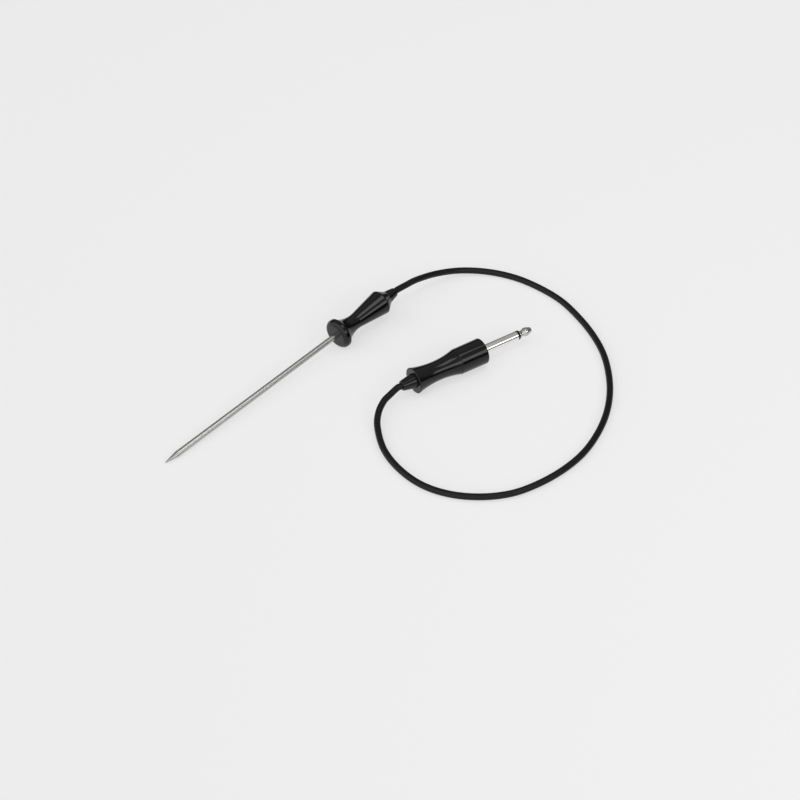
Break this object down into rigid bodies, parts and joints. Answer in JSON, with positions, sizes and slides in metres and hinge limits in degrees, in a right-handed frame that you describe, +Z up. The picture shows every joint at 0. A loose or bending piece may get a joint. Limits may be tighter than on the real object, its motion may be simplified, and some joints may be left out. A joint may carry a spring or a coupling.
{
  "type": "oven temperature probe",
  "caption": "Oven temperature probe: pointed steel stem in a black hourglass grip, a free black cord and a quarter-inch phone plug in a waisted black body.",
  "frame": {"origin": "on the table, under the middle of the probe's box, without the cord and the plug", "axes": "+Z up, +X along the probe from its point to its cord, the plug on the -Y side"},
  "size_m": [0.2921, 0.1979, 0.0214],
  "materials": {
    "stem_steel": "polished stainless steel",
    "black_plastic": "glossy black moulding",
    "boot_rubber": "satin black rubber",
    "cord_jacket": "satin black jacket",
    "nickel": "bright nickel plating",
    "ring_black": "black insulator",
    "insulator": "moulded insulator",
    "brass": "plain brass",
    "sensor_glass": "glass bead",
    "bare_wire": "tinned wire and solder",
    "wire_white": "white wire insulation",
    "shrink_red": "red heat-shrink",
    "filler": "heat-conducting filler",
    "silicone": "red silicone",
    "resin": "cast resin"
  },
  "bodies": {
    "root": {"stem_tube": "stem_steel", "stem_point": "stem_steel", "tip_filler": "filler", "thermistor_bead": "sensor_glass", "thermistor_leads": "bare_wire", "lead_crimps": "brass", "crimp_sleeves": "wire_white", "stem_wires": "wire_white", "stem_collar": "brass", "stem_seal": "silicone", "grip": "black_plastic", "grip_potting": "resin", "splice_crimps": "brass", "splice_sleeves": "shrink_red", "grip_cores": "wire_white", "grip_ferrule": "brass", "grip_boot": "boot_rubber", "cord": "cord_jacket", "plug_boot": "boot_rubber", "plug_ferrule": "brass", "plug_cores": "wire_white", "plug_body": "black_plastic", "jack_sleeve": "nickel", "tip_insulator": "ring_black", "jack_tip": "nickel", "rod_insulator": "insulator", "rear_washer": "insulator", "tip_lug": "brass", "sleeve_lug": "brass", "solder_joints": "bare_wire"}
  },
  "joints": []
}
